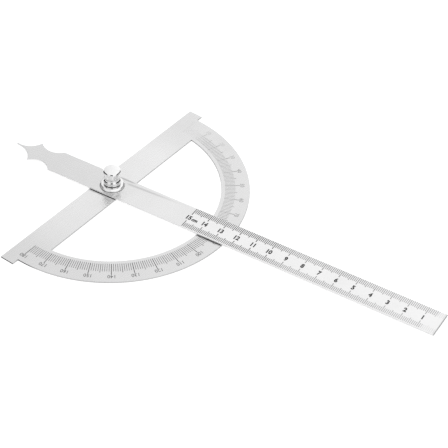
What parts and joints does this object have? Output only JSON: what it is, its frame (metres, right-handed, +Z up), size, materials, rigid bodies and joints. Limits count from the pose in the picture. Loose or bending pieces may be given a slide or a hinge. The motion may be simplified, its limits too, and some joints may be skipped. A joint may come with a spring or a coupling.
{
  "type": "protractor",
  "caption": "Flat steel half-round protractor with a straight base bar, a swinging ruler arm with a pointed tail, and a knurled locking knob on the pivot.",
  "frame": {"origin": "on the pivot axis, at the flush underside of the head", "axes": "+Z up out of the face with the scale, +Y along the base bar to the scale's 0 degree end, +X from the bar into the half ring and roughly along the arm at rest"},
  "size_m": [0.2646, 0.16, 0.0127],
  "materials": {
    "head_steel": "fine brushed stainless steel",
    "arm_steel": "satin stainless steel",
    "stud_steel": "turned stainless steel",
    "washer_nylon": "natural nylon",
    "knob_chrome": "polished chrome plate"
  },
  "bodies": {
    "head": {"head_plate": "head_steel", "pivot_stud": "stud_steel", "friction_washer": "washer_nylon"},
    "arm": {"swing_arm": "arm_steel"},
    "collar": {"collar_washer": "knob_chrome"},
    "knob": {"lock_knob": "knob_chrome"}
  },
  "joints": [
    {"name": "arm_swing", "type": "hinge", "parent": "head", "child": "arm", "pos_m": [0, 0, 0.00155], "axis": [0, 0, 1], "continuous": true},
    {"name": "clamp_lift", "type": "slide", "parent": "head", "child": "collar", "axis": [0, 0, 1], "range_m": [0, 0.0007]},
    {"name": "knob_turn", "type": "hinge", "parent": "collar", "child": "knob", "pos_m": [0, 0, 0.008], "axis": [0, 0, 1], "range_deg": [0, 360]}
  ],
  "couplings": [
    {"joint": "knob_turn", "follows": "clamp_lift", "rad_per_m": 8975.9}
  ]
}
